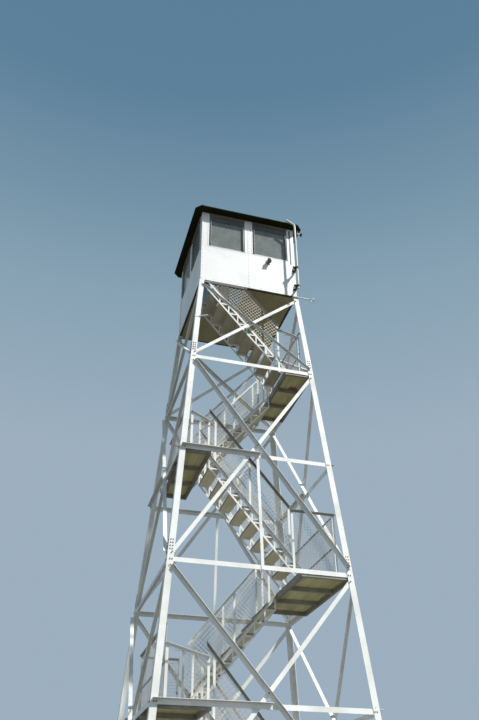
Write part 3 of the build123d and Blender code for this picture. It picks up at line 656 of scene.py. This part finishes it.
def loose_parts(bm):
    """The vertices of each separate part of a mesh, in a steady order."""
    left = dict.fromkeys(bm.verts)
    found = []
    while left:
        queue = [next(iter(left))]
        del left[queue[0]]
        island = list(queue)
        while queue:
            vert = queue.pop()
            for edge in vert.link_edges:
                other = edge.other_vert(vert)
                if other in left:
                    del left[other]
                    queue.append(other)
                    island.append(other)
        found.append(island)
    return found


def welded(node):
    """A node's mesh at its place in the tower, with doubled points joined."""
    bm = bmesh.new()
    bm.from_mesh(NODES[node].data)
    bm.transform(NODES[node].matrix_world)
    bmesh.ops.remove_doubles(bm, verts=bm.verts, dist=WELD_DISTANCE)
    return bm


def sheets(node):
    """The corners of each separate sheet of a node."""
    bm = welded(node)
    found = [[vert.co.copy() for vert in part] for part in loose_parts(bm)]
    bm.free()
    return found


def flat_outline(points):
    """Convex outline of 2-D points, anticlockwise."""
    points = sorted({(round(x, 5), round(y, 5)) for x, y in points})
    halves = []
    for ordered in (points, points[::-1]):
        chain = []
        for point in ordered:
            while len(chain) > 1:
                (ax, ay), (bx, by) = chain[-2:]
                if (bx - ax) * (point[1] - ay) - (by - ay) * (point[0] - ax) > 1e-9:
                    break
                chain.pop()
            chain.append(point)
        halves += chain[:-1]
    return [Vector(point) for point in halves]


def wire_lines(outline, direction, pitch):
    """Both ends of each wire of one direction inside a convex outline."""
    across = Vector((-direction.y, direction.x)).normalized()
    reach = [across.dot(corner) for corner in outline]
    for step in range(math.floor(min(reach) / pitch), math.ceil(max(reach) / pitch) + 1):
        ends = []
        for corner, following in zip(outline, outline[1:] + outline[:1]):
            first = across.dot(corner) - step * pitch
            last = across.dot(following) - step * pitch
            if first * last < 0:
                ends.append(corner.lerp(following, first / (first - last)))
        if len(ends) == 2:
            yield ends


def slope_of(outline):
    """Direction of the longest edge that isn't upright."""
    edges = [b - a for a, b in zip(outline, outline[1:] + outline[:1])]
    running = [edge for edge in edges if abs(edge.x) > SHORT_RUN]
    return max(running, key=lambda edge: edge.length).normalized()


def wire_mesh(name, node, pitch, strands, sloping, material):
    """Square mesh in place of a node's sheets: flat strands in two touching layers.

    The second width of the strands is for the top storey.
    """
    piece = Piece()
    for corners in sheets(node):
        spans = [max(c[axis] for c in corners) - min(c[axis] for c in corners) for axis in (0, 1)]
        flat = 0 if spans[0] < spans[1] else 1
        along = 1 - flat
        normal = Vector((0, 1, 0)) if flat else Vector((1, 0, 0))
        width = strands[min(corner.z for corner in corners) > level(1)]
        depth = sum(corner[flat] for corner in corners) / len(corners)
        outline = flat_outline([(corner[along], corner.z) for corner in corners])
        direction = slope_of(outline) if sloping else Vector((1, 0))
        for layer, line in ((-1, direction), (1, Vector((-direction.y, direction.x)))):
            for ends in wire_lines(outline, line, pitch):
                points = []
                for end in ends:
                    point = Vector((0, 0, end.y))
                    point[along] = end.x
                    point[flat] = depth + layer * STRAND_THICKNESS / 2
                    points.append(point)
                if (points[1] - points[0]).length > 2 * width:
                    piece.bar(*points, width, STRAND_THICKNESS, normal)
    made = piece.make(name, material, "wire_mesh")
    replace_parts(made, node)


wire_mesh("stair_wire_mesh", "stair_mesh", STAIR_PITCH, (STAIR_STRAND, TOP_STRAND), True, WIRE)
wire_mesh(
    "landing_wire_mesh", "landing_mesh", LANDING_PITCH, (LANDING_STRAND,) * 2, False, FINE_WIRE
)

# Stair guards

DECK_RISE = 0.022
STAIR_SHIFT = -0.090
STRINGER_DEPTH = 0.270
STAIR_WIDTH = 0.750
STAIR_RUN = (EDGE_RIGHT - EDGE_LEFT) / (1 - STRINGER_DEPTH / TIER)
STAIR_SLOPE = TIER / STAIR_RUN
STAIR_COS = math.cos(math.atan(STAIR_SLOPE))
ODD_START = -1.040
ODD_STEP = -0.080
EVEN_START = -0.200
HANDRAIL = 0.900
RAIL = 0.038
RAIL_T = 0.005
FIRST_POST = 0.100
NARROW_FLANGE = 0.021


def walking_level(flight):
    """Height that a flight starts from."""
    return 0.0 if flight == STOREYS else level(flight) + DECK_RISE


def stair_start(flight):
    """The y of a flight's front edge."""
    return ODD_START + ODD_STEP * (flight - 1) if flight % 2 else EVEN_START


def chord(flight, x):
    """Height of the upper chord's top of a flight."""
    return walking_level(flight) + (EDGE_RIGHT - x) * STAIR_SLOPE + STRINGER_DEPTH


def slab(piece, flight, outline, y_low, y_high):
    """An outline in x and z made solid between two y, mirrored for even flights."""
    if flight % 2 == 0:
        outline = [(2 * STAIR_SHIFT - x, z) for x, z in outline]
    points = [(x, y, z) for y in (y_low, y_high) for x, z in outline]
    piece.add(points, tube_faces(len(outline)))


def handrail(flight, upper, lower, depth):
    """Outline of a handrail's strip, depth deep square to the slope."""
    drop = depth / STAIR_COS
    tops = [(x, chord(flight, x) + HANDRAIL) for x in (upper, lower)]
    return tops + [(x, z - drop) for x, z in reversed(tops)]


def post(flight, x):
    """Outline of a post from the upper chord to the handrail."""
    foot = [(edge, chord(flight, edge)) for edge in (x + RAIL, x)]
    head = [(edge, chord(flight, edge) + HANDRAIL - RAIL / STAIR_COS) for edge in (x, x + RAIL)]
    return foot + head


guard_angles = Piece()
guard_rails = Piece()
for flight in range(1, STOREYS + 1):
    # The odd flights' handrails take the darker rail paint: painted shade under their flanges.
    rails = guard_rails if flight % 2 else guard_angles
    lower = EDGE_RIGHT - RAIL
    upper = EDGE_LEFT
    posts = [lower - RAIL]
    flange = RAIL
    if flight == 1:
        upper = EDGE_RIGHT - (FLOOR - chord(1, EDGE_RIGHT) - HANDRAIL) / STAIR_SLOPE
        flange = NARROW_FLANGE
    else:
        posts += [upper + FIRST_POST, (upper + lower) / 2]
    front = stair_start(flight)
    for y, outwards in ((front, -1), (front + STAIR_WIDTH - RAIL_T, 1)):
        slab(rails, flight, handrail(flight, upper, lower, RAIL), y, y + RAIL_T)
        ends = (y + RAIL_T - flange, y) if outwards < 0 else (y + RAIL_T, y + flange)
        slab(rails, flight, handrail(flight, upper, lower, RAIL_T), *ends)
        for x in posts:
            slab(guard_angles, flight, post(flight, x), y, y + RAIL_T)
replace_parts(guard_angles.make("stair_guard_angles", WHITE, "white_steel"), "stair_guards")
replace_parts(guard_rails.make("stair_guard_rails", RAIL_SHADE_PAINT, "white_steel"), "stair_guards")

# Cab trims

CASING = 0.030
CASING_PROUD = 0.005
CASING_FOOT = SILL - 0.002
SILL_STRIP_FOOT = SILL - 0.020
SILL_STRIP_PROUD = 0.003
TRIM_TOP = WALL_TOP - 0.003
TRIM_FOOT = 0.028
BEAD = 0.010
BEAD_INWARDS = 0.012
BEAD_OUTWARDS = 0.022
# Black strips on the walls where their gaps lie: painted shade of the gaps.
GAP_LEFT = 0.962
GAP_RIGHT = 0.990
GAP_FOOT = SILL - 0.09
GAP_TOP = HEAD + 0.12
GAP_PROUD = 0.0012
CREVICE_LEFT = -0.955
CREVICE_RIGHT = -0.941
CREVICE_END = 0.05
CREVICE_PROUD = 0.0015
FOOT_HEIGHT = 0.014
FOOT_PROUD = 0.004
FOOT_SHEET = 0.0015
FOOT_DEPTH = 0.048
FOOT_END = 0.97
HATCH_SIDE = -0.04
RIVET_INSET = 0.06

# Covers on a wall: left, right, foot, top and how far proud
WALL_COVERS = (
    (-0.026, 0.026, SILL, TRIM_TOP, 0.004),
    (-0.017, 0.017, TRIM_FOOT, SILL - TRIM_FOOT, 0.0022),
    (-CAB_HALF - 0.003, -CAB_HALF + 0.045, TRIM_FOOT, TRIM_TOP, 0.003),
    (GAP_RIGHT + 0.006, CAB_HALF + 0.003, TRIM_FOOT, TRIM_TOP, 0.0035),
)
# Rows of rivets: first and last place, count and how far proud
RIVET_ROWS = (
    ((0, RIVET_INSET), (0, SILL - RIVET_INSET), 10, 0.0022),
    ((0, SILL + 0.05), (0, HEAD - 0.05), 8, 0.004),
    ((-CAB_HALF + 0.028, RIVET_INSET), (-CAB_HALF + 0.028, WALL_TOP - RIVET_INSET), 17, 0.003),
    ((CAB_HALF - 0.03, RIVET_INSET), (CAB_HALF - 0.03, WALL_TOP - RIVET_INSET), 17, 0.0035),
    ((-0.95, RIVET_INSET), (0.95, RIVET_INSET), 12, 0.0),
)
# The head panels over the windows take the colour of glass in the eave's shadow: painted shade.
# Strips over a window: foot, top and how far proud
HEAD_PANELS = ((HEAD - SASH + 0.004, HEAD + 0.088, 0.0025),)
HEADERS = (
    (HEAD + 0.088, HEAD + 0.104, 0.022),
    (HEAD + 0.114, HEAD + 0.136, 0.020),
    (HEAD + 0.144, WALL_TOP - 0.004, 0.018),
)
HEADER_LINES = ((HEAD + 0.104, HEAD + 0.114, 0.024), (HEAD + 0.136, HEAD + 0.144, 0.026))


def strip(piece, u_low, u_high, z_low, z_high, proud, back=0.0):
    """A strip on a wall: u runs to the right from its middle, z up from the cab's foot.

    It reaches from back to proud, both measured outwards from the wall's face.
    """
    piece.box(
        (u_low, -CAB_HALF - proud, FLOOR + z_low),
        (u_high, -CAB_HALF - back, FLOOR + z_high),
    )


def mirrored(sign, first, last):
    """Two places on a wall in rising order, on the side that the sign says."""
    return sorted((sign * first, sign * last))


def rivet_row(piece, start, end, count, proud):
    """Rivets from one (u, z) to another on a wall."""
    for k in range(count):
        share = k / (count - 1)
        u = start[0] + (end[0] - start[0]) * share
        z = start[1] + (end[1] - start[1]) * share
        piece.rivet((u, -CAB_HALF - proud, FLOOR + z), (0, -1, 0))


casings = Piece()
covers = Piece()
rivets = Piece()
headers = Piece()
header_lines = Piece()
head_panels = Piece()
gap_shades = Piece()
foot_angles = Piece()
beads = Piece()
for degrees in SIDES:
    for piece in (
        casings, covers, rivets, headers, header_lines, head_panels, gap_shades, foot_angles, beads
    ):
        piece.turn(degrees)
    for sign in (-1, 1):
        for edge, outer in ((WINDOW_IN, WINDOW_IN - CASING), (WINDOW_OUT, WINDOW_OUT + CASING)):
            strip(casings, *mirrored(sign, edge, outer), CASING_FOOT, TRIM_TOP, CASING_PROUD)
        ends = mirrored(sign, WINDOW_IN - CASING, WINDOW_OUT + CASING)
        strip(casings, *ends, SILL_STRIP_FOOT, CASING_FOOT, SILL_STRIP_PROUD)
        for edge in (WINDOW_IN + SASH, WINDOW_OUT - SASH - BEAD):
            ends = mirrored(sign, edge, edge + BEAD)
            strip(beads, *ends, SILL + SASH, HEAD - SASH, -BEAD_INWARDS, BEAD_OUTWARDS)
        ends = mirrored(sign, WINDOW_IN, WINDOW_OUT)
        for piece, strips in (
            (head_panels, HEAD_PANELS),
            (headers, HEADERS),
            (header_lines, HEADER_LINES),
        ):
            for z_low, z_high, proud in strips:
                strip(piece, *ends, z_low, z_high, proud)
    for cover in WALL_COVERS:
        strip(covers, *cover)
    # A black strip beside the right corner post: painted shade of the gap there.
    strip(gap_shades, GAP_LEFT, GAP_RIGHT, GAP_FOOT, GAP_TOP, GAP_PROUD)
    side = CAB_HALF + FOOT_PROUD
    strip(foot_angles, -side, side, 0.0, FOOT_HEIGHT, FOOT_PROUD)
    start = HATCH_SIDE if degrees == FRONT else -FOOT_END
    strip(foot_angles, start, FOOT_END, -FOOT_SHEET, 0.0, FOOT_PROUD, -FOOT_DEPTH)
    for row in RIVET_ROWS:
        rivet_row(rivets, *row)
# A black strip near one corner of the left and rear walls: painted shade of a crevice.
for degrees in (LEFT, REAR):
    gap_shades.turn(degrees)
    top = WALL_TOP - CREVICE_END
    strip(gap_shades, CREVICE_LEFT, CREVICE_RIGHT, CREVICE_END, top, CREVICE_PROUD)
casings.make("window_casings", BOARD, "white_board", 0.0015)
covers.make("wall_seam_covers", BOARD, "white_board", 0.0008)
rivets.make("wall_rivets", RUSTY, "galvanized")
headers.make("window_headers", HEADER, "deck_wood", 0.002)
header_lines.make("header_lines", HEADER_LINE, "white_board", 0.001)
head_panels.make("window_head_panels", EAVE_SHADE_PAINT, "glass")
gap_shades.make("wall_corner_gap_shades", BLACK, "underside_metal")
foot_angles.make("wall_foot_angles", FOOT, "frame_steel")
beads.make("glazing_beads", SASH_PAINT, "frame_steel")

# Lamp drum on the front wall

LAMP_PLACE = Vector((0.440, -CAB_HALF - 0.030, FLOOR + 0.862))
LAMP_DOWN = math.radians(35)
LAMP_AIM = Vector((0, -math.cos(LAMP_DOWN), -math.sin(LAMP_DOWN)))
LAMP_SIDES = 16
# Start and end along the aim, with the radius at each
DRUM_PARTS = ((0.0, 0.085, 0.040, 0.048), (0.085, 0.092, 0.050, 0.050))
CAP_PARTS = ((-0.016, 0.030, 0.030, 0.042),)

for name, parts, material in (("lamp_drum", DRUM_PARTS, GREY), ("lamp_cap", CAP_PARTS, CREAM)):
    piece = Piece()
    for start, end, radius, end_radius in parts:
        first, last = LAMP_PLACE + LAMP_AIM * start, LAMP_PLACE + LAMP_AIM * end
        piece.rod(first, last, radius, LAMP_SIDES, end_radius)
    piece.make(name, material, "galvanized")

# Black and white blocks on the bars between mast and wall

MAST_X = 1.035
MAST_Y = -1.285
MAST_CLAMPS = (0.130, 0.650)
BLOCK_X = MAST_X - 0.052
BLOCK_REACH = Vector((0.026, 0.010, 0.012))
BLOCK_SIDES = 10
# Distance from the mast, rise and radius of each block; every other one is white
BLOCKS = (
    (0.030, 0.030, 0.026),
    (0.070, 0.002, 0.030),
    (0.105, -0.028, 0.026),
    (0.145, -0.050, 0.022),
)
COLLAR_LOW = 0.026
COLLAR_HIGH = 0.040
COLLAR_RADIUS = 0.036
COLLAR_SIDES = 12

blocks_black = Piece()
blocks_white = Piece()
for height in MAST_CLAMPS:
    z = FLOOR + height
    for index, (away, rise, radius) in enumerate(BLOCKS):
        piece = blocks_white if index % 2 else blocks_black
        middle = Vector((BLOCK_X, MAST_Y + away, z + rise))
        piece.rod(middle - BLOCK_REACH, middle + BLOCK_REACH, radius, BLOCK_SIDES)
    low, high = ((MAST_X, MAST_Y, z + rise) for rise in (COLLAR_LOW, COLLAR_HIGH))
    blocks_white.rod(low, high, COLLAR_RADIUS, COLLAR_SIDES)
blocks_black.make("clamp_blocks_black", BLACK, "galvanized", 0.003)
blocks_white.make("clamp_blocks_white", CREAM, "galvanized", 0.003)

# Roof

ROOF_EDGE = 0.018
ROOF_EDGE_FOOT = FLOOR + WALL_TOP + 0.004
ROOF_FOOT = ROOF_EDGE_FOOT + ROOF_EDGE
APEX = FLOOR + WALL_TOP + FASCIA + ROOF_RISE + ROOF_SHEET
EAVE_SIDE = EAVE - EAVE_CLIP
ROOF_SLOPE = (APEX - ROOF_FOOT) / (EAVE - ROOF_TOP)
RING = 8
TOP_RINGS = (3, 4)
# Ribs under the eave: distance from the wall and depth
SOFFIT_RIBS = ((0.035, 0.012), (0.085, 0.008), (0.135, 0.010))
RIB_WIDTH = 0.012
RIB_END = 0.03
SEAM_PLACES = (-0.84, -0.42, 0.0, 0.42, 0.84)
SEAM_WIDTH = 0.022
SEAM_DEPTH = 0.016
SEAM_LIFT = 0.003
SEAM_START = 0.012
SEAM_STOP = 0.03
HIP_WIDTH = 0.040
HIP_DEPTH = 0.010
HIP_START = 0.012
HIP_STOP = 0.965
UP = Vector((0, 0, 1))


def roof_ring(half, side, z):
    """Eight corners of a square with clipped corners, anticlockwise."""
    quarter = [Vector((-side, -half, z)), Vector((side, -half, z))]
    return [Matrix.Rotation(math.radians(turn), 4, "Z") @ v for turn in SIDES for v in quarter]


def on_roof(x, inwards):
    """A point just over the front slope, some way in from the eave."""
    return Vector((x, inwards - EAVE, ROOF_FOOT + SEAM_LIFT + ROOF_SLOPE * inwards))


inner_foot = roof_ring(EAVE - FASCIA_T, EAVE_SIDE - FASCIA_T, ROOF_EDGE_FOOT)
top_ring = roof_ring(ROOF_TOP, ROOF_TOP, APEX)
rings = (
    inner_foot,
    roof_ring(EAVE, EAVE_SIDE, ROOF_EDGE_FOOT),
    roof_ring(EAVE, EAVE_SIDE, ROOF_FOOT),
    top_ring,
    [v - UP * ROOF_SHEET for v in top_ring],
    [v + UP * (ROOF_EDGE / 2) for v in inner_foot],
)
faces = []
for ring in range(len(rings)):
    here, there = ring * RING, (ring + 1) % len(rings) * RING
    for k in range(RING):
        after = (k + 1) % RING
        faces.append((here + k, here + after, there + after, there + k))
faces += [tuple(ring * RING + k for k in range(RING)) for ring in TOP_RINGS]
shell = Piece()
shell.add([v for ring in rings for v in ring], faces)
roof_shell = shell.make("roof_shell", ROOF, "roof_metal", weld=True)
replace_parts(roof_shell, "roof_fascia", "roof_cover")

ribs = Piece()
roof_seams = Piece()
for degrees in SIDES:
    ribs.turn(degrees)
    roof_seams.turn(degrees)
    soffit = FLOOR + WALL_TOP
    for away, deep in SOFFIT_RIBS:
        out = CAB_HALF + away
        reach = min(out, EAVE + EAVE_SIDE - out - RIB_END)
        ribs.box((-reach, -out - RIB_WIDTH, soffit - deep), (reach, -out, soffit))
    for x in SEAM_PLACES:
        beside = max(0.0, abs(x) - ROOF_TOP) / (EAVE_SIDE - ROOF_TOP)
        length = (EAVE - ROOF_TOP) * (1 - beside)
        low, high = on_roof(x, SEAM_START), on_roof(x, length - SEAM_STOP)
        roof_seams.bar(low, high, SEAM_WIDTH, SEAM_DEPTH, UP)
    top = Vector((ROOF_TOP, -ROOF_TOP, APEX + SEAM_LIFT))
    for x, y in ((EAVE_SIDE, -EAVE), (EAVE, -EAVE_SIDE)):
        corner = Vector((x, y, ROOF_FOOT + SEAM_LIFT))
        low, high = corner.lerp(top, HIP_START), corner.lerp(top, HIP_STOP)
        roof_seams.bar(low, high, HIP_WIDTH, HIP_DEPTH, UP)
ribs.make("soffit_ribs", ROOF, "roof_metal", 0.001)
roof_seams.make("roof_seams", ROOF, "roof_metal", 0.001)

# Slimmer first falling brace under the cab

NORMAL = Vector((0, -math.cos(TILT), math.sin(TILT)))
# Share of the brace's width that is left
SLIM = 0.62


def face_point(x, z, lift=0.0):
    """A point on the front side's outer plane, or lifted off it."""
    return Vector((x, -half_width(z), z)) + NORMAL * lift


def brace_corner(storey, upper):
    """The x and z of a brace's end below a storey's strut, or above it."""
    z = level(storey) + (-BRACE_GAP if upper else BRACE_GAP)
    return half_width(z) - BRACE_INSET, z


bm = welded("front_bracing")
x_high, high = brace_corner(0, True)
x_low, low = brace_corner(1, False)
first, last = face_point(-x_high, high), face_point(x_low, low)
across = NORMAL.cross((last - first).normalized())
for part in loose_parts(bm):
    middle = sum((vert.co for vert in part), Vector()) / len(part)
    if middle.z > level(1) and NORMAL.dot(middle - first) > 0:
        for vert in part:
            offset = vert.co - first
            wide, out = across.dot(offset), max(0.0, NORMAL.dot(offset) - PLATE_T)
            vert.co -= across * wide * (1 - SLIM) + NORMAL * out * (1 - SLIM)
mesh = bpy.data.meshes.new("front_braces")
bm.to_mesh(mesh)
bm.free()
braces = show("front_braces", mesh, WHITE)
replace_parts(braces, "front_bracing")

# Bolts of the frame

BRACE_BOLTS = (0.016, 0.046)
STRUT_BOLTS = (0.022, 0.058)
SPLICE_STOREYS = (1, 3)
SPLICE_FOOT = 0.165
SPLICE_PITCH = 0.052
SPLICE_ROWS = 4
SPLICE_INSETS = (0.030, 0.068)

bolts = Piece()
for degrees in SIDES:
    bolts.turn(degrees)
    for top, bottom in BRACED_PANELS:
        x_high, high = brace_corner(top, True)
        x_low, low = brace_corner(bottom, False)
        for x_top, x_bottom, lift in ((-x_high, x_low, PLATE_T), (x_high, -x_low, 0.0)):
            upper, lower = Vector((x_top, high)), Vector((x_bottom, low))
            along = (lower - upper).normalized()
            for reach in BRACE_BOLTS:
                for spot in (upper + along * reach, lower - along * reach):
                    bolts.bolt(face_point(spot.x, spot.y, lift), NORMAL)
        crossing = high - (high - low) * x_high / (x_high + x_low)
        bolts.bolt(face_point(0, crossing, PLATE_T), NORMAL)
    for storey in range(1, STOREYS):
        z = level(storey)
        reach = half_width(z) - END_INSET
        lift = PLATE_T if storey in HALF_STRUT_STOREYS else 0.0
        for inset in STRUT_BOLTS:
            bolts.bolt(face_point(-reach + inset, z, lift), NORMAL)
            bolts.bolt(face_point(reach - inset, z), NORMAL)
    for storey in SPLICE_STOREYS:
        for row in range(SPLICE_ROWS):
            z = level(storey) + SPLICE_FOOT + SPLICE_PITCH * row
            for inset in SPLICE_INSETS:
                for sign in (-1, 1):
                    bolts.bolt(face_point(sign * (half_width(z) - inset), z), NORMAL)
bolts.make("frame_bolts", RUSTY, "galvanized")

# Band clamp with a stub on the front left leg

CLAMP_Z = 9.21
BAND_HALF = 0.026
BAND_T = 0.006
BAND_REACH = 0.110
STUB_SIDES = 8
# Start, end and radius of each rod, from the leg's outer corner
STUB_RODS = (
    ((0.112, 0.030, 0.0), (0.112, -0.016, 0.0), 0.010),
    ((0.085, -0.012, 0.0), (0.225, -0.012, 0.045), 0.010),
    ((0.222, -0.012, 0.044), (0.246, -0.012, 0.052), 0.017),
)

leg_edge = -half_width(CLAMP_Z)
leg_corner = Vector((leg_edge, leg_edge, CLAMP_Z))
clamp = Piece()
for low, high in (
    ((leg_edge - BAND_T, leg_edge - BAND_T), (leg_edge + BAND_REACH, leg_edge)),
    ((leg_edge - BAND_T, leg_edge), (leg_edge, leg_edge + BAND_REACH)),
):
    clamp.box((*low, CLAMP_Z - BAND_HALF), (*high, CLAMP_Z + BAND_HALF))
for start, end, radius in STUB_RODS:
    clamp.rod(leg_corner + Vector(start), leg_corner + Vector(end), radius, STUB_SIDES)
clamp.make("leg_clamp", WHITE, "white_steel", 0.001)

# Nuts on the anchor bolts

BASE_PLATE_TOP = 0.020
ANCHOR = 0.095
FOOT_MIDDLE = -BASE_HALF + 0.060
# Foot, top, radius and sides of the washer, the nut and the bolt's end
NUT_PARTS = ((0.0, 0.003, 0.020, 12), (0.003, 0.019, 0.016, 6), (0.019, 0.042, 0.009, 10))

anchors = Piece()
for degrees in SIDES:
    anchors.turn(degrees)
    for dx in (-ANCHOR, ANCHOR):
        for dy in (-ANCHOR, ANCHOR):
            spot = Vector((FOOT_MIDDLE + dx, FOOT_MIDDLE + dy, BASE_PLATE_TOP))
            for low, high, radius, sides in NUT_PARTS:
                anchors.rod(spot + UP * low, spot + UP * high, radius, sides)
anchors.make("anchor_nuts", GREY, "galvanized")
